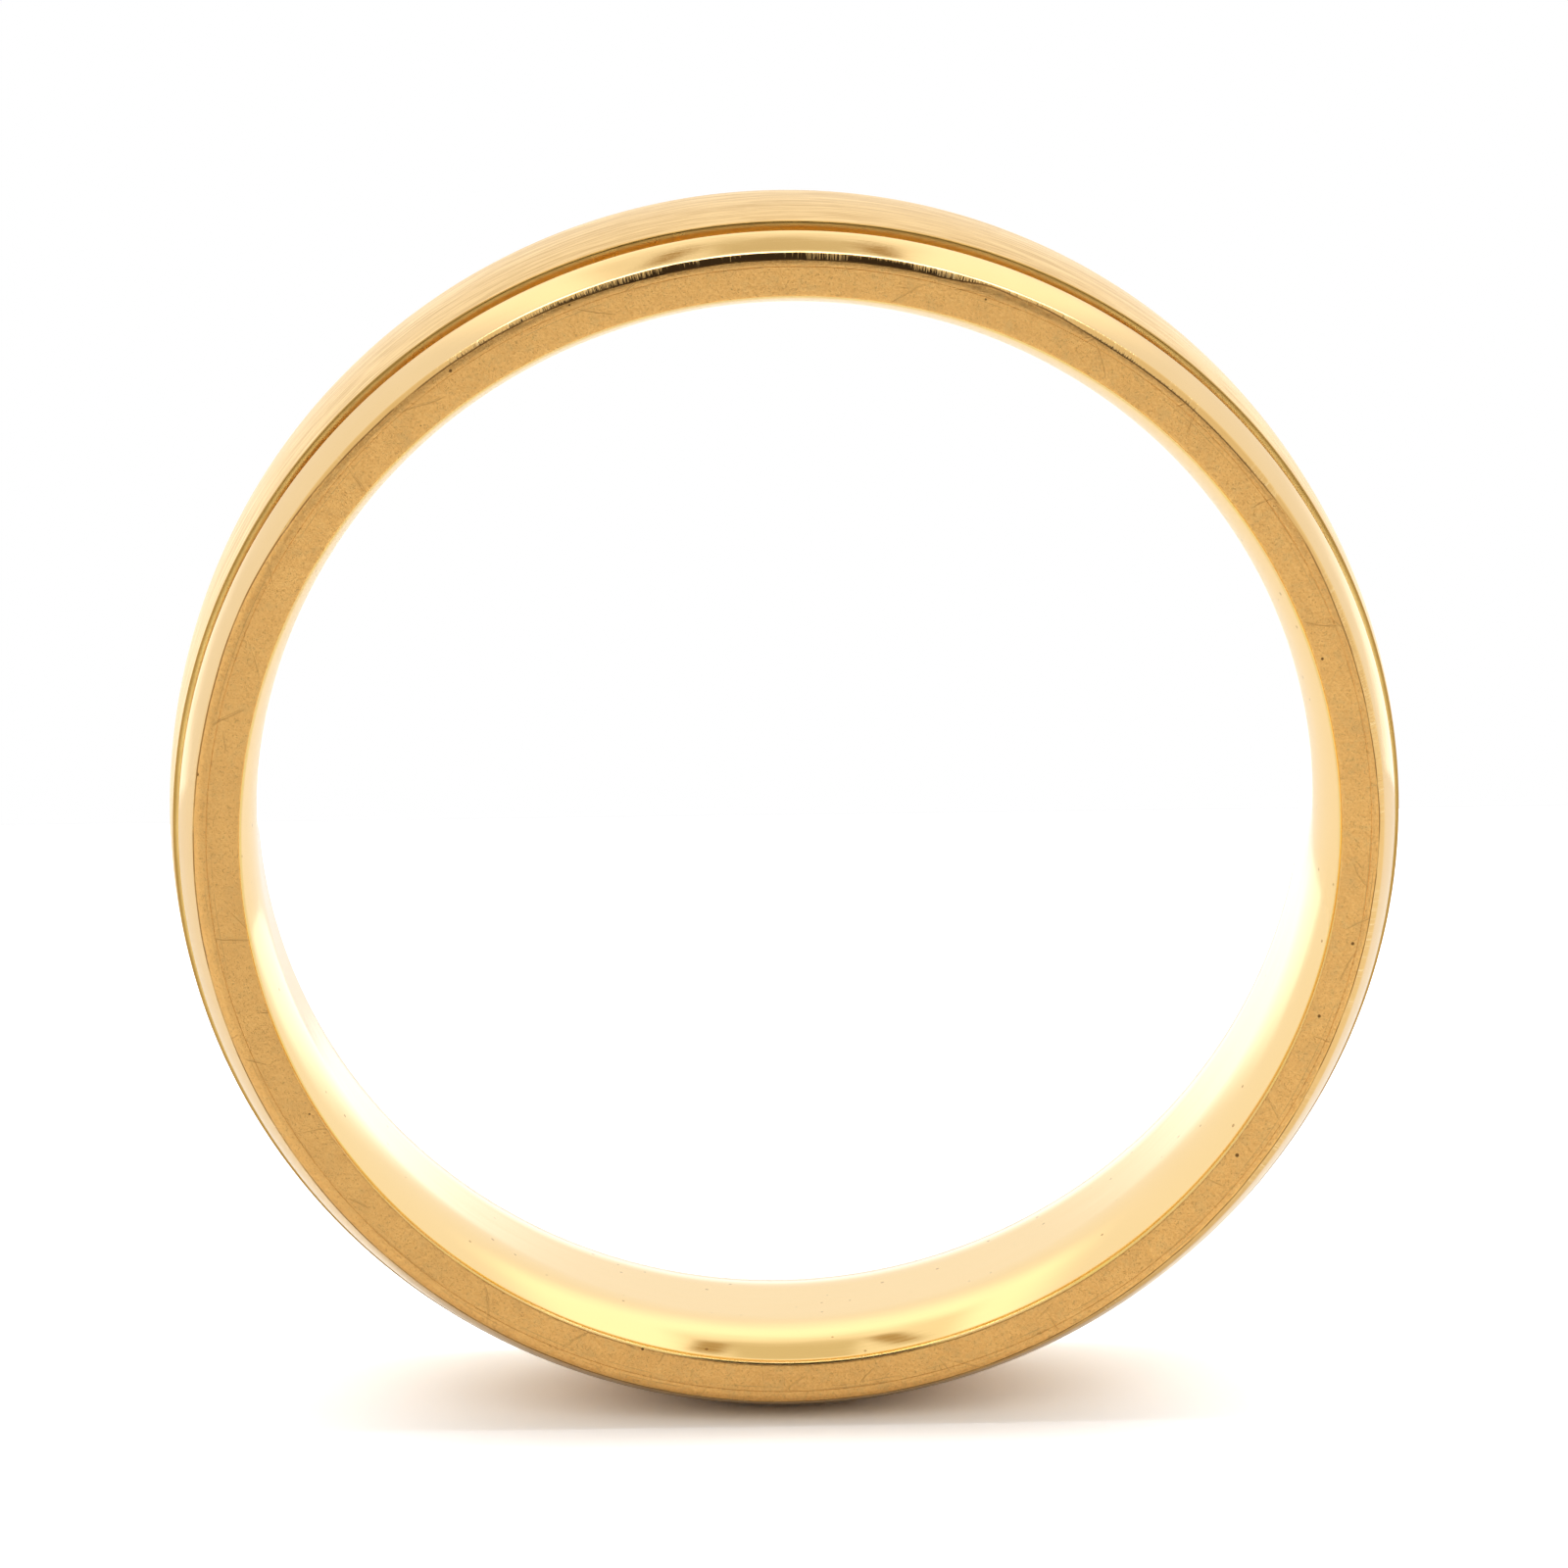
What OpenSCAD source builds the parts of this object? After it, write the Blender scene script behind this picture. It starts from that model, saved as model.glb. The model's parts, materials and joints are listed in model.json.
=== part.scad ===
// Flat-sided wedding band: a comfort-fit inner sleeve carries a satin centre band
// between two polished edge rings. The ring's axis lies along Y, +Z is up, and the
// origin is the middle of the bore. Sizes are in millimetres.

/* [Finger and width] */
// Inner diameter at the straight middle of the bore (19.8 is US size 10)
bore_d = 19.8; // [14:0.1:24]
// Width of the band along the finger
band_w = 5; // [4.4:0.1:8]
// Thickness of the whole band at its crest
wall = 1.65; // [1.5:0.01:2.2]

/* [Comfort-fit bore] */
// Length of the straight middle of the bore
land_w = 1.6; // [1:0.1:2]
// Radial rise from the straight middle to the side face
comfort_rise = 0.41; // [0.25:0.01:0.45]
// Radius of the lip between the bore and the side face
lip_r = 0.1; // [0.04:0.01:0.12]

/* [Edge rings] */
// Axial distance from the side face to the end of the sloping rail
rail_w = 0.77; // [0.6:0.01:0.9]
// Slope of the rail, in degrees from the ring's axis
rail_slope = 23.5; // [15:0.5:30]
// Radius of the corner between the side face and the rail
corner_r = 0.3; // [0.15:0.01:0.35]
// How far the rail's top edge lies below the centre band's edge
rail_step = 0.095; // [0.05:0.005:0.15]

/* [Groove and lap joint] */
// Width of the groove between an edge ring and the centre band
groove_w = 0.3; // [0.2:0.01:0.4]
// Depth of the groove below the rail's top edge
groove_depth = 0.18; // [0.1:0.01:0.2]
// Length of each edge ring's tongue that lies under the centre band
lap_w = 0.4; // [0.2:0.01:0.45]

/* [Centre band] */
// Height of the crest above the centre band's edges
crown = 0.075; // [0.03:0.005:0.12]
// Size of the small bevel that breaks each exposed sharp edge
edge_break = 0.03; // [0.01:0.005:0.04]

/* [Hidden] */
$fn = 128;

half_w = band_w / 2;
bore_r = bore_d / 2;
crest_r = bore_r + wall;
centre_half_w = half_w - rail_w - groove_w;
centre_edge_r = crest_r - crown;
crown_r = (centre_half_w ^ 2 + crown ^ 2) / (2 * crown);

rail_top_r = centre_edge_r - rail_step;
groove_floor_r = rail_top_r - groove_depth;
tongue_end = rail_w + groove_w + lap_w;

// The corner arc starts flush with the side face and ends flush with the rail.
corner_turn = 90 - rail_slope;
rail_foot_h = corner_r * (1 - cos(corner_turn));
rail_foot_r = rail_top_r - (rail_w - rail_foot_h) * tan(rail_slope);
seat_r = rail_foot_r - corner_r * sin(corner_turn);

// The comfort arc leaves the straight middle flush and runs flush into the lip arc.
face_edge_r = bore_r + comfort_rise;
lip_centre = [face_edge_r, half_w - lip_r];
comfort_r = (comfort_rise ^ 2 + (lip_centre[1] - land_w / 2) ^ 2 - lip_r ^ 2)
          / (2 * (comfort_rise - lip_r));
comfort_centre = [bore_r + comfort_r, land_w / 2];
lip_start = lip_centre + lip_r * (lip_centre - comfort_centre)
          / norm(lip_centre - comfort_centre);

// Turns a half section, drawn as [radius, place along the axis], into a ring about Y.
module turned() rotate([-90, 0, 0]) rotate_extrude() children();

// One half of the sleeve's section, from the straight middle out to a side face.
module sleeve_half_section() {
    intersection() {
        translate(comfort_centre) circle(comfort_r);
        translate([bore_r, land_w / 2])
            square([seat_r - bore_r, lip_start[1] - land_w / 2]);
    }
    intersection() {
        union() {
            translate(lip_centre) circle(lip_r);
            translate([face_edge_r, 0]) square([seat_r - face_edge_r, half_w]);
        }
        translate([bore_r, lip_start[1]])
            square([seat_r - bore_r, half_w - lip_start[1]]);
    }
}

// The inner sleeve: the polished comfort-fit bore and most of both side faces.
module inner_sleeve() color([0.86, 0.67, 0.40]) turned() {
    translate([bore_r, -land_w / 2]) square([seat_r - bore_r, land_w]);
    sleeve_half_section();
    mirror([0, 1]) sleeve_half_section();
}

// The satin centre band: a low crown outside, and a rebate under each end for a tongue.
module centre_band() color([0.91, 0.79, 0.60]) turned()
    intersection() {
        translate([crest_r - crown_r, 0]) circle(crown_r);
        polygon([
            [seat_r, lap_w - centre_half_w],
            [groove_floor_r, lap_w - centre_half_w],
            [groove_floor_r, -centre_half_w],
            [centre_edge_r - edge_break, -centre_half_w],
            [centre_edge_r, edge_break - centre_half_w],
            [crest_r + crown, edge_break - centre_half_w],
            [crest_r + crown, centre_half_w - edge_break],
            [centre_edge_r, centre_half_w - edge_break],
            [centre_edge_r - edge_break, centre_half_w],
            [groove_floor_r, centre_half_w],
            [groove_floor_r, centre_half_w - lap_w],
            [seat_r, centre_half_w - lap_w]
        ]);
    }

// An edge ring's section, measured from its side face: a rounded corner, the sloping
// rail, the groove's floor and the tongue that laps under the centre band.
module edge_ring_section() {
    polygon([
        [seat_r, corner_r],
        [rail_foot_r, rail_foot_h],
        [rail_top_r - edge_break * tan(rail_slope), rail_w - edge_break],
        [rail_top_r - edge_break, rail_w],
        [groove_floor_r, rail_w],
        [groove_floor_r, tongue_end],
        [seat_r, tongue_end]
    ]);
    translate([seat_r, corner_r]) intersection() {
        circle(corner_r);
        polygon([
            [0, 0],
            [0, -2 * corner_r],
            [2 * corner_r, -2 * corner_r],
            2 * corner_r * [sin(corner_turn), -cos(corner_turn)]
        ]);
    }
}

module edge_ring() color([0.95, 0.80, 0.46]) turned()
    translate([0, -half_w]) edge_ring_section();

// The edge rings: polished rails at the front (-Y) and the rear (+Y) of the band.
module front_edge_ring() edge_ring();
module rear_edge_ring() mirror([0, 1, 0]) edge_ring();

inner_sleeve();
centre_band();
front_edge_ring();
rear_edge_ring();
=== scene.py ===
import json
import math

import bpy
import numpy as np
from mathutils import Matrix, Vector


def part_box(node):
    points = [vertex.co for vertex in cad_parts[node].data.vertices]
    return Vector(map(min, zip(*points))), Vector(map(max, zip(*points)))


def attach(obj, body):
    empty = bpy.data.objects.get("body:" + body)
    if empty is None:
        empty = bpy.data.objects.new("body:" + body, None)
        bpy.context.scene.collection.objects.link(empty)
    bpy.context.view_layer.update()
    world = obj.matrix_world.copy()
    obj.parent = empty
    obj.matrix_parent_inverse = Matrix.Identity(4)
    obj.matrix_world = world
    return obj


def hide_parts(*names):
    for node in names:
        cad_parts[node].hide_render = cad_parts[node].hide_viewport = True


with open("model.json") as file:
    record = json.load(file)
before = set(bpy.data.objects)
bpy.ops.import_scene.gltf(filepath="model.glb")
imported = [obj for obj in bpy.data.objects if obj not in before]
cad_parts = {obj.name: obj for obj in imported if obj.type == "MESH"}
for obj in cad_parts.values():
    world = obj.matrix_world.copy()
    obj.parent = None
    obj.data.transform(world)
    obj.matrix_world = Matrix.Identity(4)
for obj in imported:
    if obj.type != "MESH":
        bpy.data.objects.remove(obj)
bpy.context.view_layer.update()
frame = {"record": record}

# A wedding band standing on edge: a comfort-fit sleeve, a satin centre band and two polished
# edge rings. Each is a fine turned mesh that takes the place of one of the frame's CAD nodes.
# The ring's axis is Y. Sections are drawn as (radius, place along the axis) in millimetres.

MM = 0.001
SEGMENTS = 720


# ---------------------------------------------------------------- sizes from the frame

def reach(node):
    """(largest radius, highest Y) of a CAD node, in millimetres."""
    _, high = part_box(node)
    return max(high.x, high.z) / MM, high.y / MM


SEAT_R, HALF_W = reach("inner_sleeve")
CREST_R, CENTRE_HALF_W = reach("centre_band")
RAIL_TOP_R, TONGUE_Y = reach("front_edge_ring")
BORE = frame["record"]["mounts"][0]["dims"]
BORE_R = BORE["r_mm"]
LAND_HALF = BORE["length_mm"] / 2

# Comfort-fit bore: how far it opens, the burnished lip at its mouth, and the bevel behind it.
COMFORT_RISE = 0.41
LIP_R = 0.04
LIP_TURN = 48
BEVEL_R = 0.5
BURNISHED_POINTS = 5
# Edge rings: the rail slopes up from the corner, and bows by RAIL_TURN degrees on its way.
RAIL_W = 0.77
RAIL_SLOPE = 23.5
RAIL_TURN = 10.0
RAIL_FOOT_TURN = 90 - RAIL_SLOPE - RAIL_TURN / 2
RAIL_TOP_TURN = 90 - RAIL_SLOPE + RAIL_TURN / 2
RAIL_LIP_R = 0.03
CORNER_START = 0.03
CORNER_R = 0.28
# Groove and centre band
GROOVE_DEPTH = 0.18
GROOVE_FLOOR_R = RAIL_TOP_R - GROOVE_DEPTH
GROOVE_FILLET = 0.04
CROWN = 0.075
SATIN_EDGE_R = 0.03
SEAM_BREAK = 0.006


# ---------------------------------------------------------------- outlines

def arc(centre, radius, start, stop, steps):
    """Points on an arc in the section plane; angles in degrees from +radius towards +Y."""
    turns = np.radians(np.linspace(start, stop, steps + 1))
    return [(centre[0] + radius * math.cos(turn), centre[1] + radius * math.sin(turn)) for turn in turns]


def bowed(start, stop, turn, steps):
    """Points on an arc from start to stop that turns anticlockwise by turn degrees."""
    radius = math.dist(start, stop) / (2 * math.sin(math.radians(turn / 2)))
    chord = math.atan2(stop[1] - start[1], stop[0] - start[0])
    middle = ((start[0] + stop[0]) / 2, (start[1] + stop[1]) / 2)
    depth = radius * math.cos(math.radians(turn / 2))
    centre = (middle[0] - depth * math.sin(chord), middle[1] + depth * math.cos(chord))
    normal = math.degrees(chord) - 90
    return arc(centre, radius, normal - turn / 2, normal + turn / 2, steps)


def line(start, stop, steps):
    """Points from start to stop, without the last one."""
    return [
        (start[0] + (stop[0] - start[0]) * i / steps, start[1] + (stop[1] - start[1]) * i / steps)
        for i in range(steps)
    ]


def mirrored_back(points):
    """The same points on the rear half, in reverse, without the last one."""
    return [(radius, -place) for radius, place in reversed(points)][:-1]


def runs_anticlockwise(points):
    """Whether a closed outline, with radius to the right and Y upwards, runs anticlockwise."""
    return sum(a[0] * b[1] - b[0] * a[1] for a, b in zip(points, points[1:] + points[:1])) > 0


class Section:
    """A closed section drawn zone by zone, each zone with its own material and finish."""

    def __init__(self):
        self.points = []
        self.zones = []
        self.sharp = set()
        self.corner_from = None

    def add(self, zone, points, sharp=False):
        """Adds points; the faces that start at them take the zone. sharp creases the first."""
        if sharp:
            self.sharp.add(len(self.points))
        self.points += points
        self.zones += [zone] * len(points)


def sleeve_section():
    """The comfort-fit sleeve: side faces, burnished lips, comfort curves, straight middle."""
    # Lip, bevel and comfort curve run smoothly into each other, so their centres follow.
    rise_y = HALF_W - LAND_HALF
    comfort_r = (COMFORT_RISE**2 + rise_y**2) / (2 * COMFORT_RISE)
    lip_cos, lip_sin = math.cos(math.radians(LIP_TURN)), math.sin(math.radians(LIP_TURN))
    end_cos = (rise_y - LIP_R * (1 - lip_cos) - BEVEL_R * lip_cos) / (comfort_r - BEVEL_R)
    end_sin = math.sqrt(1 - end_cos**2)
    end_turn = math.degrees(math.acos(end_cos))
    comfort = (BORE_R + comfort_r, -LAND_HALF)
    bevel = (comfort[0] - (comfort_r - BEVEL_R) * end_sin, comfort[1] - (comfort_r - BEVEL_R) * end_cos)
    lip = (bevel[0] - (BEVEL_R - LIP_R) * lip_sin, bevel[1] - (BEVEL_R - LIP_R) * lip_cos)
    edge_r = SEAT_R - SEAM_BREAK
    lip_arc = arc(lip, LIP_R, -90, -90 - LIP_TURN, steps=6)[:-1]
    bevel_arc = arc(bevel, BEVEL_R, -90 - LIP_TURN, -90 - end_turn, steps=8)
    burnished, half = bevel_arc[:BURNISHED_POINTS], bevel_arc[BURNISHED_POINTS:]
    half += arc(comfort, comfort_r, -90 - end_turn, -180, steps=18)[1:]
    section = Section()
    section.add("side", [(SEAT_R, SEAM_BREAK - HALF_W)], sharp=True)
    section.add("side", line((edge_r, -HALF_W), (lip[0], -HALF_W), steps=6), sharp=True)
    section.add("side", lip_arc)
    section.add("lip", burnished)
    section.add("bore", half)
    section.add("bore", [(BORE_R, 0)])
    section.add("bore", mirrored_back(half))
    section.add("lip", mirrored_back(burnished + half[:1]))
    section.add("side", mirrored_back(lip_arc + burnished[:1]))
    section.add("side", line((lip[0], HALF_W), (edge_r, HALF_W), steps=6))
    section.add("side", [(edge_r, HALF_W)], sharp=True)
    section.add("side", [(SEAT_R, HALF_W - SEAM_BREAK)], sharp=True)
    return section


def centre_section():
    """The satin band: a low crown, two end faces, and a rebate under each end."""
    rebate_y = -TONGUE_Y
    crown_r = (CENTRE_HALF_W**2 + CROWN**2) / (2 * CROWN)
    wall_r = CREST_R - CROWN - SATIN_EDGE_R
    edge_y = CENTRE_HALF_W - SATIN_EDGE_R
    lean = math.degrees(math.asin(edge_y / crown_r))
    foot = (GROOVE_FLOOR_R, -CENTRE_HALF_W)
    section = Section()
    section.add("wall", line(foot, (wall_r, -CENTRE_HALF_W), steps=4), sharp=True)
    section.add("wall", arc((wall_r, -edge_y), SATIN_EDGE_R, -90, -lean, steps=6)[:-1])
    section.add("satin", arc((CREST_R - crown_r, 0), crown_r, -lean, lean, steps=28))
    section.add("wall", arc((wall_r, edge_y), SATIN_EDGE_R, lean, 90, steps=6)[1:])
    section.add("wall", line((wall_r, CENTRE_HALF_W), (GROOVE_FLOOR_R, CENTRE_HALF_W), steps=4)[1:])
    section.add("wall", [(GROOVE_FLOOR_R, CENTRE_HALF_W)], sharp=True)
    section.add("wall", [(GROOVE_FLOOR_R, rebate_y)], sharp=True)
    section.add("wall", [(SEAT_R, rebate_y)], sharp=True)
    section.add("wall", [(SEAT_R, -rebate_y)], sharp=True)
    section.add("wall", [(GROOVE_FLOOR_R, -rebate_y)], sharp=True)
    return section


# The corner between side face and rail. Turns are degrees off the side face: the matte shoulder
# ends at MATTE_TURN, a burr line follows, and the filed part runs on to FILED_TURN.
MATTE_TURN = 17.0
BURR_TURN = 0.4
LINE_TURN = 5.0
LINE_GROWTH = 0.1
FILED_TURN = 51.0
FILED_LEAST = 2
SHOULDER_STEPS = 5
FILED_STEPS = 7
FOOT_STEPS = 3
CORNER_ZONES = (
    ["side"] * (SHOULDER_STEPS + 1)
    + ["line"]
    + ["filed"] * FILED_STEPS
    + ["rail"] * FOOT_STEPS
)


def corner_parts(matte):
    """Turns of the corner's points: matte shoulder, burr line, filed corner, rail foot."""
    filed = matte + LINE_TURN + (matte - MATTE_TURN) * LINE_GROWTH
    filed_end = np.maximum(FILED_TURN, filed + FILED_LEAST)
    return (
        [matte * i / SHOULDER_STEPS for i in range(SHOULDER_STEPS)]
        + [matte - BURR_TURN, matte]
        + [filed + (filed_end - filed) * i / FILED_STEPS for i in range(FILED_STEPS)]
        + [filed_end + (RAIL_FOOT_TURN - filed_end) * i / FOOT_STEPS for i in range(FOOT_STEPS)]
    )


def corner_point(turn):
    """The corner's point, or points, where the surface leans by turn degrees off the side face."""
    lean = np.radians(turn)
    return SEAT_R + CORNER_START + CORNER_R * np.sin(lean), CORNER_R * (1 - np.cos(lean)) - HALF_W


def edge_section():
    """The front edge ring: matte shoulder, rounded corner, sloping rail, groove and tongue."""
    top = (RAIL_TOP_R, RAIL_W - HALF_W)
    lip = (top[0] - RAIL_LIP_R, top[1] - RAIL_LIP_R)
    lean = math.radians(RAIL_TOP_TURN)
    rail_end = (lip[0] + RAIL_LIP_R * math.sin(lean), lip[1] - RAIL_LIP_R * math.cos(lean))
    fillet = (GROOVE_FLOOR_R + GROOVE_FILLET, top[1] + GROOVE_FILLET)
    section = Section()
    section.add("side", [(SEAT_R, SEAM_BREAK - HALF_W)], sharp=True)
    section.add("side", [(SEAT_R + SEAM_BREAK, -HALF_W)], sharp=True)
    section.corner_from = len(section.points)
    for zone, turn in zip(CORNER_ZONES, corner_parts(MATTE_TURN)):
        section.add(zone, [corner_point(turn)])
    section.add("rail", bowed(corner_point(RAIL_FOOT_TURN), rail_end, RAIL_TURN, steps=12))
    section.add("rail", arc(lip, RAIL_LIP_R, RAIL_TOP_TURN - 90, 90, steps=8)[1:])
    section.add("groove", line((lip[0], top[1]), (fillet[0], top[1]), steps=2)[1:])
    section.add("groove", arc(fillet, GROOVE_FILLET, 270, 180, steps=5))
    section.add("groove", [(GROOVE_FLOOR_R, TONGUE_Y)], sharp=True)
    section.add("groove", [(SEAT_R, TONGUE_Y)], sharp=True)
    return section


# ---------------------------------------------------------------- hand work round the ring

# Each place is (angle clockwise from the top in degrees, size, width in degrees).
# The lip is not quite round; sizes are shifts in millimetres.
LIP_SPOTS = ((-82, -0.085, 45), (-10, -0.03, 30), (75, -0.035, 18))
# Broad places where the matte face runs further round the corner; sizes are degrees of turn.
WIDE_SPOTS = ((-100, 30.0, 45), (-150, 14.0, 30), (-64, 13.0, 9), (-27, 7.0, 10), (19.5, 17.0, 2.6),
              (25, 12.0, 3.5), (60, 9.0, 6), (90, 4.0, 5), (174, 21.0, 27))
# Small waves of the matte edge all round: (cycles, degrees of turn, offset).
WAVES = ((5, 0.9, 0.4), (11, 0.8, 2.1), (23, 0.6, 4.0), (61, 0.4, 1.3))
# Nicks in the corner; sizes are multiples of NICK_DEPTH, which is in millimetres. They begin at
# the corner's point NICK_FROM and end NICK_SPAN points on.
NICKS = ((1.2, 2.2, 0.35), (5.5, 1.5, 0.3), (-10.5, 1.6, 0.3), (-26, 1.4, 0.4), (52, 2.0, 0.4),
         (-57, 2.4, 0.5), (118, 1.8, 0.4), (-101, 2.0, 0.4))
NICK_DEPTH = 0.004
NICK_FROM = 4
NICK_SPAN = 9


def spots_round(angles, spots, phase=0.0):
    """The sum of smooth bumps at places round the ring."""
    total = np.zeros_like(angles)
    for place, size, width in spots:
        away = (np.degrees(angles) - place - math.degrees(phase) + 180) % 360 - 180
        total += size * np.exp(-((away / width) ** 2))
    return total


def worn_lip(angles, radii, places):
    """Shifts the lips inwards at LIP_SPOTS, fading out towards the straight middle."""
    inner = radii < (BORE_R + SEAT_R) / 2
    part = np.clip((np.abs(places) - LAND_HALF) / (HALF_W - LAND_HALF), 0, 1) ** 2
    return radii + inner * part * spots_round(angles, LIP_SPOTS)[:, None], places


def hand_finish(section, phase):
    """How the matte edge wanders round the ring, as a function for turned()."""

    def shape(angles, radii, places):
        matte = MATTE_TURN + spots_round(angles, WIDE_SPOTS, phase)
        for cycles, size, offset in WAVES:
            matte += size * np.sin(cycles * angles + offset + phase)
        nick = spots_round(angles, NICKS, phase) * NICK_DEPTH
        for i, turn in enumerate(corner_parts(matte)):
            spot = section.corner_from + i
            dip = nick * math.sin(math.pi * min(1, max(0, (i - NICK_FROM) / NICK_SPAN)))
            radius, place = corner_point(turn)
            radii[:, spot] = radius - dip
            places[:, spot] = place + dip
        return radii, places

    return shape


# ---------------------------------------------------------------- turned meshes

def turned(name, section, materials, shape=None, mirrored=False):
    """Turns a section about Y. shape(angles, radii, places) may vary it around the ring."""
    count = len(section.points)
    angles = np.arange(SEGMENTS) * (2 * math.pi / SEGMENTS)
    radii = np.tile([radius for radius, _ in section.points], (SEGMENTS, 1))
    places = np.tile([place for _, place in section.points], (SEGMENTS, 1))
    if shape:
        radii, places = shape(angles, radii, places)
    if mirrored:
        places = -places
    verts = np.stack([radii * np.sin(angles)[:, None], places, radii * np.cos(angles)[:, None]], -1)
    ring, spot = np.meshgrid(np.arange(SEGMENTS), np.arange(count), indexing="ij")
    here, along = ring * count + spot, ring * count + (spot + 1) % count
    ahead = ((ring + 1) % SEGMENTS) * count
    quads = np.stack([here, along, ahead + (spot + 1) % count, ahead + spot], -1).reshape(-1, 4)
    if mirrored != runs_anticlockwise(section.points):
        quads = quads[:, ::-1]
    mesh = bpy.data.meshes.new(name)
    mesh.from_pydata((verts.reshape(-1, 3) * MM).tolist(), [], quads.tolist())
    paint(mesh, section, materials)
    crease(mesh, section)
    mesh.update()
    piece = bpy.data.objects.new(name, mesh)
    bpy.context.scene.collection.objects.link(piece)
    return piece


def paint(mesh, section, materials):
    """Gives each face its zone's material, and shades all faces smooth."""
    names = list(materials)
    for material in materials.values():
        mesh.materials.append(material)
    slots = np.tile([names.index(zone) for zone in section.zones], SEGMENTS)
    mesh.polygons.foreach_set("material_index", slots)
    mesh.polygons.foreach_set("use_smooth", np.ones(len(slots), bool))


def crease(mesh, section):
    """Marks the circles through the section's sharp points as sharp edges."""
    count = len(section.points)
    ends = np.empty(len(mesh.edges) * 2, np.int32)
    mesh.edges.foreach_get("vertices", ends)
    spots = ends.reshape(-1, 2) % count
    creased = (spots[:, 0] == spots[:, 1]) & np.isin(spots[:, 0], list(section.sharp))
    mesh.attributes.new("sharp_edge", "BOOLEAN", "EDGE").data.foreach_set("value", creased)


# ---------------------------------------------------------------- node helpers

class Nodes:
    """Small helpers that add and join nodes in one tree."""

    def __init__(self, tree):
        self.tree = tree

    def node(self, kind, **settings):
        made = self.tree.nodes.new(kind)
        for key, value in settings.items():
            setattr(made, key, value)
        return made

    def join(self, source, socket):
        """Links source to socket, or sets it when source is a plain value."""
        if isinstance(source, bpy.types.NodeSocket):
            self.tree.links.new(source, socket)
        else:
            socket.default_value = source

    def math(self, operation, a, b=0.0):
        made = self.node("ShaderNodeMath", operation=operation)
        self.join(a, made.inputs[0])
        self.join(b, made.inputs[1])
        return made.outputs[0]

    def plus(self, a, b):
        return self.math("ADD", a, b)

    def minus(self, a, b):
        return self.math("SUBTRACT", a, b)

    def times(self, a, b):
        return self.math("MULTIPLY", a, b)

    def larger(self, a, b):
        return self.math("MAXIMUM", a, b)

    def vector(self, x, y, z):
        made = self.node("ShaderNodeCombineXYZ")
        for source, socket in zip((x, y, z), made.inputs):
            self.join(source, socket)
        return made.outputs[0]

    def parts(self, vector):
        made = self.node("ShaderNodeSeparateXYZ")
        self.join(vector, made.inputs[0])
        return made.outputs

    def ranged(self, value, low, high, out_low=0.0, out_high=1.0):
        """Eases from out_low to out_high as value goes from low to high."""
        made = self.node("ShaderNodeMapRange", interpolation_type="SMOOTHSTEP")
        for source, key in ((value, "Value"), (low, "From Min"), (high, "From Max"),
                            (out_low, "To Min"), (out_high, "To Max")):
            self.join(source, made.inputs[key])
        return made.outputs["Result"]

    def window(self, value, low, high, soft):
        """1 where value lies between low and high, with soft edges."""
        rise = self.ranged(value, low - soft, low + soft)
        fall = self.ranged(value, high - soft, high + soft, 1.0, 0.0)
        return self.times(rise, fall)

    def mix(self, factor, a, b):
        """Colour a where factor is 0, colour b where it is 1."""
        made = self.node("ShaderNodeMix", data_type="RGBA")
        inputs = {socket.identifier: socket for socket in made.inputs}
        for source, key in ((factor, "Factor_Float"), (a, "A_Color"), (b, "B_Color")):
            self.join((*source, 1.0) if isinstance(source, tuple) else source, inputs[key])
        return next(socket for socket in made.outputs if socket.identifier == "Result_Color")


SCRATCH_LEANS = (0.4, 1.3, 2.3)


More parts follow.
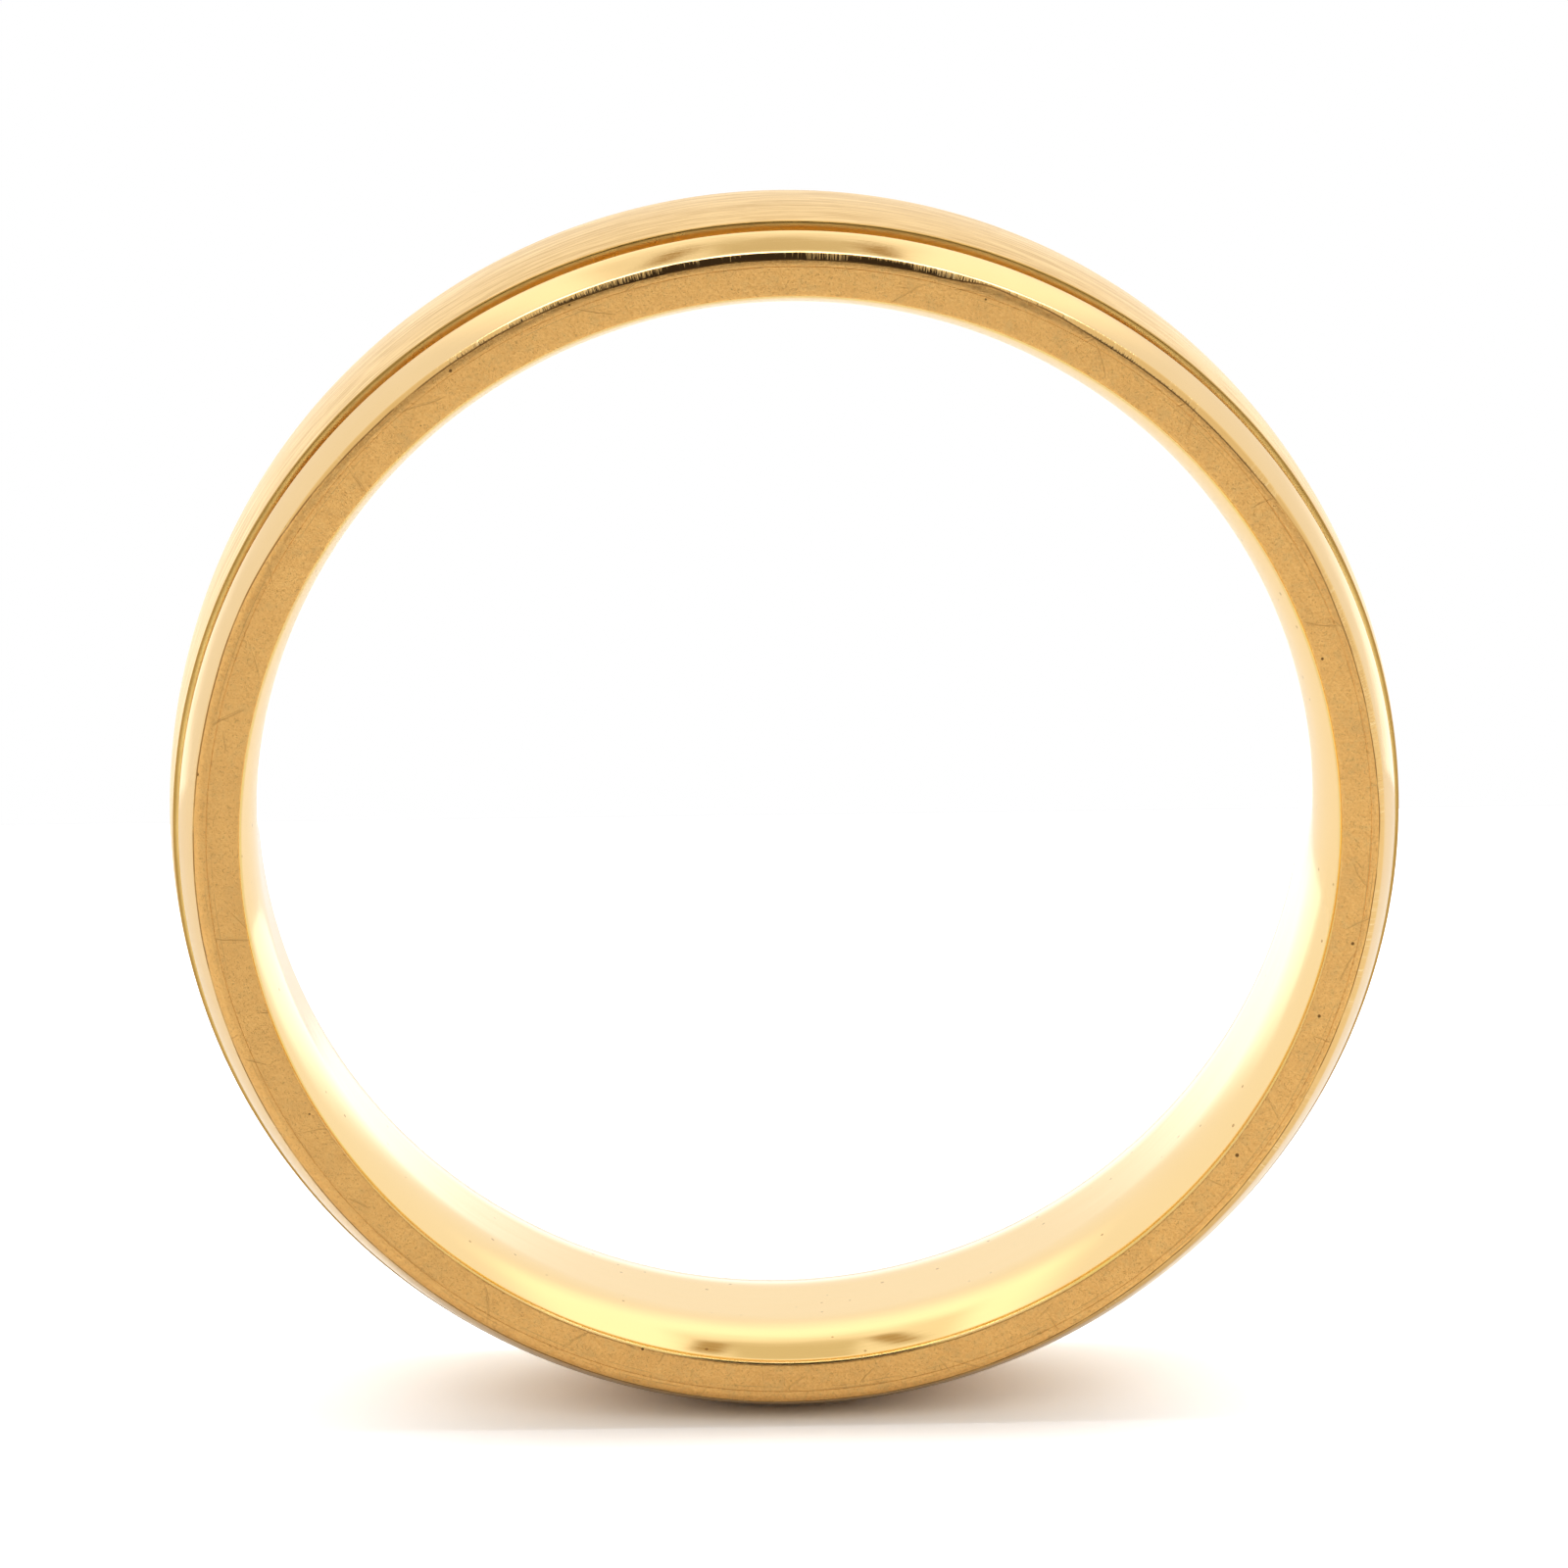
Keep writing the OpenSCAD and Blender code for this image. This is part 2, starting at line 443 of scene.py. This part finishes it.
class Finish(Nodes):
    """A metal finish: a Principled material whose patterns are laid out in millimetres."""

    def __init__(self, name):
        self.material = bpy.data.materials.new(name)
        self.material.use_nodes = True
        super().__init__(self.material.node_tree)
        self.shader = self.tree.nodes["Principled BSDF"]
        self.shader.inputs["Metallic"].default_value = 1.0
        coordinates = self.node("ShaderNodeTexCoord")
        scale = self.node("ShaderNodeVectorMath", operation="SCALE")
        self.join(coordinates.outputs["Object"], scale.inputs[0])
        scale.inputs["Scale"].default_value = 1 / MM
        self.place = scale.outputs[0]
        self.x, self.y, self.z = self.parts(self.place)

    def brushed(self, across, around):
        """Coordinates whose noise runs round the ring: fine along Y, slow along the circle."""
        return self.vector(
            self.times(self.x, around),
            self.times(self.y, across),
            self.times(self.z, around),
        )

    def radius(self):
        squares = self.plus(self.math("POWER", self.x, 2.0), self.math("POWER", self.z, 2.0))
        return self.math("SQRT", squares)

    def radial(self, lines):
        """Coordinates that only change with the angle, for marks that run radially."""
        r = self.radius()
        return self.vector(
            self.times(self.math("DIVIDE", self.x, r), lines),
            0.0,
            self.times(self.math("DIVIDE", self.z, r), lines),
        )

    def noise(self, place, scale=1.0, detail=3.0, rough=0.55, distort=0.0):
        made = self.node("ShaderNodeTexNoise")
        self.join(place, made.inputs["Vector"])
        made.inputs["Scale"].default_value = scale
        made.inputs["Detail"].default_value = detail
        made.inputs["Roughness"].default_value = rough
        made.inputs["Distortion"].default_value = distort
        return made.outputs["Fac"]

    def pits(self, across, along, size, spread, share):
        """Sparse round pits on a surface laid out by two coordinates: 1 inside a pit."""
        cells = self.node("ShaderNodeTexVoronoi", voronoi_dimensions="2D")
        self.join(self.vector(across, along, 0.0), cells.inputs["Vector"])
        cells.inputs["Scale"].default_value = 1 / spread
        chance = self.node("ShaderNodeSeparateColor")
        self.join(cells.outputs["Color"], chance.inputs[0])
        chosen = self.math("LESS_THAN", chance.outputs[0], share)
        pit_size = self.times(chance.outputs[1], size / spread)
        inside = self.math("LESS_THAN", cells.outputs["Distance"], pit_size)
        return self.times(chosen, inside)

    def scratches(self, spacing, width):
        """Stray scratches along SCRATCH_LEANS: 1 on a line. Sizes are in millimetres."""
        total = None
        for lean in SCRATCH_LEANS:
            across = self.plus(self.times(self.x, math.cos(lean)), self.times(self.z, math.sin(lean)))
            along = self.minus(self.times(self.z, math.cos(lean)), self.times(self.x, math.sin(lean)))
            sway = self.times(self.noise(self.place, scale=0.5, detail=1.0), 1.5)
            phase = self.times(self.plus(across, sway), 1 / spacing)
            off_line = self.math("ABSOLUTE", self.minus(self.math("FRACT", phase), 0.5))
            on_line = self.ranged(self.times(off_line, spacing), width * 0.5, width, 1.0, 0.0)
            stretch = self.vector(self.math("FLOOR", phase), 0.0, self.times(along, 0.9))
            shown = self.ranged(self.noise(stretch, detail=1.0), 0.55, 0.63)
            mark = self.times(on_line, shown)
            total = mark if total is None else self.larger(total, mark)
        return total

    def bump(self, layers):
        """Chains bumps; each layer is (height, depth in millimetres)."""
        normal = None
        for height, depth in layers:
            made = self.node("ShaderNodeBump")
            made.inputs["Strength"].default_value = 1.0
            made.inputs["Distance"].default_value = depth * MM
            self.join(height, made.inputs["Height"])
            if normal is not None:
                self.join(normal, made.inputs["Normal"])
            normal = made.outputs["Normal"]
        self.join(normal, self.shader.inputs["Normal"])

    def finish(self, colour, roughness):
        self.join(colour, self.shader.inputs["Base Color"])
        self.join(roughness, self.shader.inputs["Roughness"])
        return self.material


# ---------------------------------------------------------------- finishes

GOLD = (0.84, 0.60, 0.30)
GOLD_PALE = (0.88, 0.64, 0.33)
GOLD_BRIGHT = (0.95, 0.70, 0.345)
GOLD_DEEP = (0.70, 0.42, 0.14)
BORE_GOLD = (0.93, 0.68, 0.33)
FILED_GOLD = (0.82, 0.53, 0.20)
LIP_GOLD = (0.88, 0.66, 0.19)
LINE_BROWN = (0.36, 0.19, 0.06)
MATTE = (1.0, 0.625, 0.225)
MATTE_DARK = (0.86, 0.475, 0.145)
MATTE_TAN = (0.80, 0.52, 0.20)
# The next colour is painted shade on the lower left of the side faces.
MATTE_SHADED = (0.74, 0.44, 0.15)
FLECK = (0.40, 0.21, 0.07)
PIT = (0.12, 0.05, 0.015)
SATIN_DARK = (0.69, 0.455, 0.20)
SATIN_PALE = (0.91, 0.65, 0.325)
SATIN_SHEEN = (1.0, 0.94, 0.78, 1.0)
# The next colour is painted shade high in the grooves, under the satin's edge.
GROOVE_SHADE = (0.50, 0.30, 0.08)
GROOVE_ORANGE = (1.0, 0.73, 0.27)


def polished_gold():
    """The rails: a mirror polish with hairlines round the ring and a faint hand-buffed wave."""
    metal = Finish("polished_gold")
    hairs = metal.noise(metal.brushed(across=45.0, around=1.1), detail=4.0, rough=0.65)
    cloud = metal.noise(metal.place, scale=0.9)
    wave = metal.noise(metal.brushed(across=2.2, around=0.5), detail=2.0)
    colour = metal.mix(cloud, GOLD, GOLD_PALE)
    hair_rough = metal.ranged(hairs, 0.35, 0.8, 0.045, 0.12)
    cloud_rough = metal.ranged(cloud, 0.3, 0.7, 0.0, 0.03)
    metal.bump([(wave, 0.006), (hairs, 0.001)])
    return metal.finish(colour, metal.plus(hair_rough, cloud_rough))


def filed_gold():
    """The rounded corner: half polished, with short file strokes across it in uneven patches."""
    metal = Finish("filed_gold")
    strokes = metal.noise(metal.radial(140.0), rough=0.7)
    patches = metal.ranged(metal.noise(metal.radial(9.0), detail=2.0), 0.42, 0.62)
    cloud = metal.noise(metal.place, scale=1.6)
    streaks = metal.times(metal.ranged(strokes, 0.5, 0.68), patches)
    colour = metal.mix(metal.plus(metal.times(cloud, 0.35), streaks), FILED_GOLD, GOLD_BRIGHT)
    roughness = metal.plus(metal.ranged(strokes, 0.4, 0.7, 0.07, 0.14), metal.times(streaks, 0.2))
    metal.bump([(metal.times(strokes, metal.plus(patches, 0.25)), 0.018)])
    return metal.finish(colour, roughness)


def line_gold():
    """The thin line where the matte face ends: a burr left by the file, darker in places."""
    metal = Finish("edge_line_gold")
    gaps = metal.ranged(metal.noise(metal.radial(10.0)), 0.45, 0.7)
    colour = metal.mix(gaps, LINE_BROWN, GOLD_DEEP)
    return metal.finish(colour, metal.ranged(gaps, 0.0, 1.0, 0.35, 0.22))


def lip_gold():
    """The burnished lip at the mouth of the bore."""
    metal = Finish("lip_gold")
    hairs = metal.noise(metal.brushed(across=40.0, around=0.6), rough=0.6)
    colour = metal.mix(metal.ranged(hairs, 0.3, 0.7), LIP_GOLD, GOLD)
    metal.bump([(hairs, 0.0008)])
    return metal.finish(colour, metal.ranged(hairs, 0.3, 0.7, 0.11, 0.16))


def bore_gold():
    """The comfort-fit bore: the brightest polish, with faint turning lines and tiny specks."""
    metal = Finish("bore_gold")
    lines = metal.noise(metal.brushed(across=30.0, around=0.35), rough=0.6)
    cloud = metal.noise(metal.place, scale=0.7)
    wave = metal.noise(metal.brushed(across=1.6, around=0.35), detail=2.0)
    round_ring = metal.times(metal.math("ARCTAN2", metal.x, metal.z), BORE_R)
    specks = metal.pits(round_ring, metal.y, size=0.035, spread=0.55, share=0.3)
    colour = metal.mix(cloud, GOLD_BRIGHT, BORE_GOLD)
    colour = metal.mix(metal.times(specks, 0.6), colour, FLECK)
    metal.bump([(wave, 0.004), (lines, 0.0004)])
    return metal.finish(colour, metal.ranged(lines, 0.3, 0.8, 0.07, 0.15))


# Faint turned lines on the side faces: their radii, and half their width, in millimetres.
TURNED_LINES = (SEAT_R - 0.09, SEAT_R - 0.02, SEAT_R + 0.07)
TURNED_HALF = 0.006
TURNED_SOFT = 0.008
# Painted shade: the side face is darker to one side, the lower left. The direction (x, z), and from
# where to where the shade sets in.
SHADE_TOWARDS = (-0.9, -0.3)
SHADE_REACH = (5.0, 11.0)
SHADE_SHARE = 0.42


def turned_lines(metal):
    """The turned lines, broken into uneven stretches: 1 on a line."""
    r = metal.radius()
    total = 0.0
    for i, place in enumerate(TURNED_LINES):
        on_line = metal.window(r, place - TURNED_HALF, place + TURNED_HALF, TURNED_SOFT)
        shown = metal.ranged(metal.noise(metal.radial(4.0 + i), rough=0.6), 0.48, 0.62)
        total = metal.larger(total, metal.times(on_line, shown))
    return total


def crossing_rubs(metal):
    """Two sets of short rubs on the side faces, one slanted and one level."""
    slanted = metal.vector(metal.times(metal.plus(metal.x, metal.z), 16.0), 0.0,
                           metal.times(metal.minus(metal.x, metal.z), 2.5))
    level = metal.vector(metal.times(metal.x, 3.5), 0.0, metal.times(metal.z, 18.0))
    both = metal.plus(metal.noise(slanted, rough=0.7), metal.noise(level, rough=0.7))
    return metal.times(both, 0.5)


def painted_side_shade(metal):
    """How much painted shade darkens the side face, from 0 to the share set above."""
    towards = metal.plus(metal.times(metal.x, SHADE_TOWARDS[0]), metal.times(metal.z, SHADE_TOWARDS[1]))
    return metal.ranged(towards, *SHADE_REACH, 0.0, SHADE_SHARE)


def matte_gold():
    """The side faces: a fine dry matte with crossing rubs, dark flecks, stray scratches and pits, and
    painted shade towards the lower left.
    """
    metal = Finish("matte_gold")
    grain = metal.noise(metal.place, scale=18.0, detail=4.0, rough=0.75)
    blotch = metal.noise(metal.place, scale=2.6, detail=4.0, rough=0.6)
    tint = metal.noise(metal.place, scale=5.0, rough=0.65)
    flecks = metal.noise(metal.place, scale=20.0, detail=2.0, rough=0.6, distort=1.6)
    flecks = metal.ranged(flecks, 0.60, 0.67)
    pits = metal.pits(metal.x, metal.z, size=0.036, spread=0.7, share=0.3)
    scratches = metal.scratches(spacing=1.1, width=0.02)
    rubs = crossing_rubs(metal)
    tone = metal.plus(metal.times(grain, 0.6), metal.times(rubs, 0.4))
    colour = metal.mix(metal.ranged(tone, 0.38, 0.62), MATTE_DARK, MATTE)
    colour = metal.mix(metal.ranged(tint, 0.48, 0.7, 0.0, 0.4), colour, MATTE_TAN)
    colour = metal.mix(metal.ranged(blotch, 0.5, 0.72, 0.0, 0.3), colour, MATTE_TAN)
    # Painted shade: the side face turns darker towards the lower left.
    colour = metal.mix(painted_side_shade(metal), colour, MATTE_SHADED)
    marks = metal.larger(metal.times(flecks, 0.34), metal.times(turned_lines(metal), 0.5))
    marks = metal.larger(marks, metal.times(scratches, 0.2))
    colour = metal.mix(marks, colour, FLECK)
    colour = metal.mix(metal.times(pits, 0.85), colour, PIT)
    blotch_rough = metal.ranged(blotch, 0.3, 0.7, 0.38, 0.48)
    grain_rough = metal.ranged(grain, 0.3, 0.7, -0.04, 0.06)
    dents = metal.larger(metal.larger(pits, scratches), metal.times(flecks, 0.4))
    metal.bump([(rubs, 0.007), (grain, 0.007), (dents, -0.012)])
    return metal.finish(colour, metal.plus(blotch_rough, grain_rough))


def satin_gold():
    """The centre band: satin, brushed round the ring in fine strokes of many lengths."""
    metal = Finish("satin_gold")
    hair = metal.noise(metal.brushed(across=32.0, around=1.0), detail=4.0, rough=0.7)
    fine = metal.noise(metal.brushed(across=9.0, around=0.45), rough=0.7)
    broad = metal.noise(metal.brushed(across=4.0, around=0.05), detail=2.0, rough=0.6)
    strokes = metal.plus(metal.times(hair, 0.5), metal.times(fine, 0.4))
    strokes = metal.plus(strokes, metal.times(broad, 0.1))
    colour = metal.mix(metal.ranged(strokes, 0.42, 0.58), SATIN_DARK, SATIN_PALE)
    metal.shader.inputs["Anisotropic"].default_value = 0.6
    metal.shader.inputs["Specular Tint"].default_value = SATIN_SHEEN
    tangent = metal.node("ShaderNodeTangent", direction_type="RADIAL", axis="Y")
    metal.join(tangent.outputs[0], metal.shader.inputs["Tangent"])
    metal.bump([(strokes, 0.006)])
    return metal.finish(colour, metal.ranged(strokes, 0.35, 0.65, 0.44, 0.3))


def groove_gold():
    """The grooves and hidden seats: as turned, with painted shade that darkens the groove walls higher
    up, under the satin's edge.
    """
    metal = Finish("groove_gold")
    lines = metal.noise(metal.brushed(across=24.0, around=0.5), rough=0.65)
    height = metal.plus(metal.radius(), metal.times(metal.noise(metal.radial(5.0)), 0.05))
    # Painted shade: darker brown towards the top of the groove, under the satin's edge.
    painted_shade = metal.ranged(height, RAIL_TOP_R + 0.03, RAIL_TOP_R + 0.11)
    colour = metal.mix(painted_shade, GROOVE_ORANGE, GROOVE_SHADE)
    metal.bump([(lines, 0.003)])
    return metal.finish(colour, metal.ranged(lines, 0.3, 0.7, 0.22, 0.34))


# ---------------------------------------------------------------- the band

rail, filed, bore = polished_gold(), filed_gold(), bore_gold()
matte, satin, groove = matte_gold(), satin_gold(), groove_gold()
edge = edge_section()
sleeve_materials = {"side": matte, "lip": lip_gold(), "bore": bore}
centre_materials = {"wall": groove, "satin": satin}
edge_materials = {"side": matte, "line": line_gold(), "filed": filed, "rail": rail, "groove": groove}

comfort_sleeve = turned("comfort_sleeve", sleeve_section(), sleeve_materials, worn_lip)
satin_centre = turned("satin_centre", centre_section(), centre_materials)
front_rail = turned("front_rail", edge, edge_materials, hand_finish(edge, phase=0.0))
rear_rail = turned("rear_rail", edge, edge_materials, hand_finish(edge, phase=2.0), mirrored=True)

for piece, node, finish_slot in (
    (comfort_sleeve, "inner_sleeve", "sleeve_gold"),
    (satin_centre, "centre_band", "satin_gold"),
    (front_rail, "front_edge_ring", "polished_gold"),
    (rear_rail, "rear_edge_ring", "polished_gold"),
):
    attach(piece, "root")
    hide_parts(node)


# ---------------------------------------------------------------- studio

# What the ring mirrors. A direction is (lean, side): lean runs in degrees from the front horizon
# (0) over the top (90) to the back (180), and side is its X part. Each patch is (colour,
# (lean from, to, softness), (side from, to, softness), slant in side per degree of lean).
WHITE = (1.0, 1.0, 1.0)
TENT_BACK = (1.04, 1.03, 1.02)
TENT_FRONT = (0.90, 0.84, 0.74)
PATCHES = {
    "soft_glow": ((1.46, 1.42, 1.30), (105, 145, 9), (-0.49, 0.57, 0.09), 0.0),
    "lamp_halo": ((1.08, 1.04, 0.90), (103, 131, 5), (-0.32, 0.27, 0.05), 0.0),
    "strip_lamp": ((4.5, 4.5, 4.5), (88.5, 97, 1.2), (-0.56, 0.61, 0.04), 0.0),
    "lamp_hub": ((0.78, 0.70, 0.50), (109, 126, 3), (-0.10, 0.17, 0.025), 0.0),
    "lamp_end_left": ((0.50, 0.36, 0.17), (114, 125, 1.6), (-0.215, -0.145, 0.02), 0.007),
    "lamp_end_right": ((0.50, 0.36, 0.17), (113, 124.5, 1.6), (0.18, 0.25, 0.02), -0.003),
}
# How far forwards (along -Y) a direction points where the tent's back turns into its front.
TENT_TURN = (-0.05, 0.2)
# The bright band low at the back: its colour, its (from, to, softness) in Z and in X, and how
# far forwards a direction points where the band is full and where it has faded out.
HORIZON = (1.45, 1.5, 1.6)
HORIZON_HEIGHTS = (-0.4, 0.07, 0.15)
HORIZON_SIDES = (-0.70, 0.72, 0.05)
HORIZON_FADE = (-0.2, 0.0)
# The dark opening towards the camera: from GAP_FOOT up to GAP_TOP in lean, GAP_HALF to each
# side at the top, and wider below by GAP_SPREAD per degree.
GAP = (0.045, 0.035, 0.03)
GAP_FOOT = -40
GAP_TOP = 87.5
GAP_TOP_SOFT = 1.5
GAP_HALF = 0.24
GAP_SIDE_SOFT = 0.02
GAP_SPREAD = 0.0045


def tent_world():
    """A white tent: plain white to the camera, and to the ring a tent with lamps and a dark gap."""
    world = bpy.data.worlds.new("white_tent")
    world.use_nodes = True
    sky = Nodes(world.node_tree)
    x, y, z = sky.parts(sky.node("ShaderNodeTexCoord").outputs["Generated"])
    front = sky.times(y, -1.0)
    lean = sky.times(sky.math("ARCTAN2", z, front), 180 / math.pi)
    colour = sky.mix(sky.ranged(front, *TENT_TURN), TENT_BACK, TENT_FRONT)
    low_back = sky.times(sky.window(z, *HORIZON_HEIGHTS), sky.window(x, *HORIZON_SIDES))
    low_back = sky.times(low_back, sky.ranged(front, *HORIZON_FADE, 1.0, 0.0))
    colour = sky.mix(low_back, colour, HORIZON)
    for light, leans, sides, slant in PATCHES.values():
        middle = (leans[0] + leans[1]) / 2
        slid = sky.minus(x, sky.times(sky.minus(lean, middle), slant))
        patch = sky.times(sky.window(lean, *leans), sky.window(slid, *sides))
        colour = sky.mix(patch, colour, light)
    colour = sky.mix(dark_gap(sky, x, lean), colour, GAP)
    seen = sky.node("ShaderNodeLightPath").outputs["Is Camera Ray"]
    background = sky.tree.nodes["Background"]
    sky.join(sky.mix(seen, colour, WHITE), background.inputs["Color"])
    background.inputs["Strength"].default_value = 1.0
    return world


def dark_gap(sky, x, lean):
    """The opening towards the camera: 1 inside it."""
    spread = sky.times(sky.minus(GAP_TOP, lean), GAP_SPREAD)
    beside = sky.minus(sky.math("ABSOLUTE", x), spread)
    inside = sky.ranged(beside, GAP_HALF - GAP_SIDE_SOFT, GAP_HALF + GAP_SIDE_SOFT, 1.0, 0.0)
    return sky.times(sky.window(lean, GAP_FOOT, GAP_TOP, GAP_TOP_SOFT), inside)


# The lamps and the paper: places and sizes in metres, angles in degrees, the lamp's power in
# watts.
LAMP_PLACE = (0.04, 0.015, 0.3)
LAMP_SIZE = (0.715, 0.08)
LAMP_POWER = 0.25
FILL_LEAN = 48.0
FILL_SPREAD = 40.0
FILL_STRENGTH = 0.4


def paper_light(name, kind, energy):
    """A light that only lights the paper: the ring doesn't mirror it."""
    light = bpy.data.objects.new(name, bpy.data.lights.new(name, kind))
    light.data.energy = energy
    light.visible_glossy = False
    bpy.context.scene.collection.objects.link(light)
    return light


def overhead_lamp():
    """A strip lamp straight overhead, which throws the soft shadow."""
    lamp = paper_light("overhead_lamp", "AREA", LAMP_POWER)
    lamp.data.shape = "RECTANGLE"
    lamp.data.size, lamp.data.size_y = LAMP_SIZE
    lamp.location = LAMP_PLACE


def front_fill():
    """A broad soft light from the front, which lifts the shadow."""
    fill = paper_light("front_fill", "SUN", FILL_STRENGTH)
    fill.data.angle = math.radians(FILL_SPREAD)
    fill.rotation_euler = (math.radians(FILL_LEAN), 0, 0)


FLOOR_NEAR = 3.0
FLOOR_FAR = 0.041
# The paper is overexposed to the camera; the ring mirrors it as the tent's white.
PAPER_SEEN = (1.36, 1.40, 1.48)
PAPER_MIRRORED = (0.84, 0.835, 0.83)


def paper_floor():
    """A pale sheet under the ring; its far edge is where the tent's back begins."""
    material = bpy.data.materials.new("white_paper")
    material.use_nodes = True
    nodes = Nodes(material.node_tree)
    paper = nodes.node("ShaderNodeBsdfDiffuse")
    seen = nodes.node("ShaderNodeLightPath").outputs["Is Camera Ray"]
    nodes.join(nodes.mix(seen, PAPER_MIRRORED, PAPER_SEEN), paper.inputs["Color"])
    nodes.join(paper.outputs["BSDF"], nodes.tree.nodes["Material Output"].inputs["Surface"])
    height = -CREST_R * MM
    corners = [(-FLOOR_NEAR, -FLOOR_NEAR, height), (FLOOR_NEAR, -FLOOR_NEAR, height),
               (FLOOR_NEAR, FLOOR_FAR, height), (-FLOOR_NEAR, FLOOR_FAR, height)]
    mesh = bpy.data.meshes.new("floor")
    mesh.from_pydata(corners, [], [range(4)])
    mesh.materials.append(material)
    sheet = bpy.data.objects.new("floor", mesh)
    bpy.context.scene.collection.objects.link(sheet)


paper_floor()
overhead_lamp()
front_fill()
bpy.context.scene.world = tent_world()
bpy.context.scene.view_settings.view_transform = "Standard"


# ---------------------------------------------------------------- camera

# Angles are in degrees; distance, rise, lens and sensor in millimetres; the near clip in metres.
CAMERA_AZIMUTH = -2.75
CAMERA_ELEVATION = 15.16
CAMERA_DISTANCE = 180.5
CAMERA_RISE = 0.35
CAMERA_LENS = 219.9
CAMERA_SENSOR = 36.0
CAMERA_NEAR = 0.01


def photo_camera():
    """A long lens from the front, a little above the ring and a little to one side."""
    azimuth, elevation = math.radians(CAMERA_AZIMUTH), math.radians(CAMERA_ELEVATION)
    level = math.cos(elevation)
    back = Vector((math.sin(azimuth) * level, -math.cos(azimuth) * level, math.sin(elevation)))
    up = back.cross(Vector((math.cos(azimuth), math.sin(azimuth), 0.0)))
    camera = bpy.data.objects.new("photo_camera", bpy.data.cameras.new("photo_camera"))
    camera.data.sensor_width = CAMERA_SENSOR
    camera.data.lens = CAMERA_LENS
    camera.data.clip_start = CAMERA_NEAR
    camera.location = (back * CAMERA_DISTANCE + up * CAMERA_RISE) * MM
    camera.rotation_mode = "QUATERNION"
    camera.rotation_quaternion = (-back).to_track_quat("-Z", "Y")
    bpy.context.scene.collection.objects.link(camera)
    return camera


bpy.context.scene.camera = photo_camera()
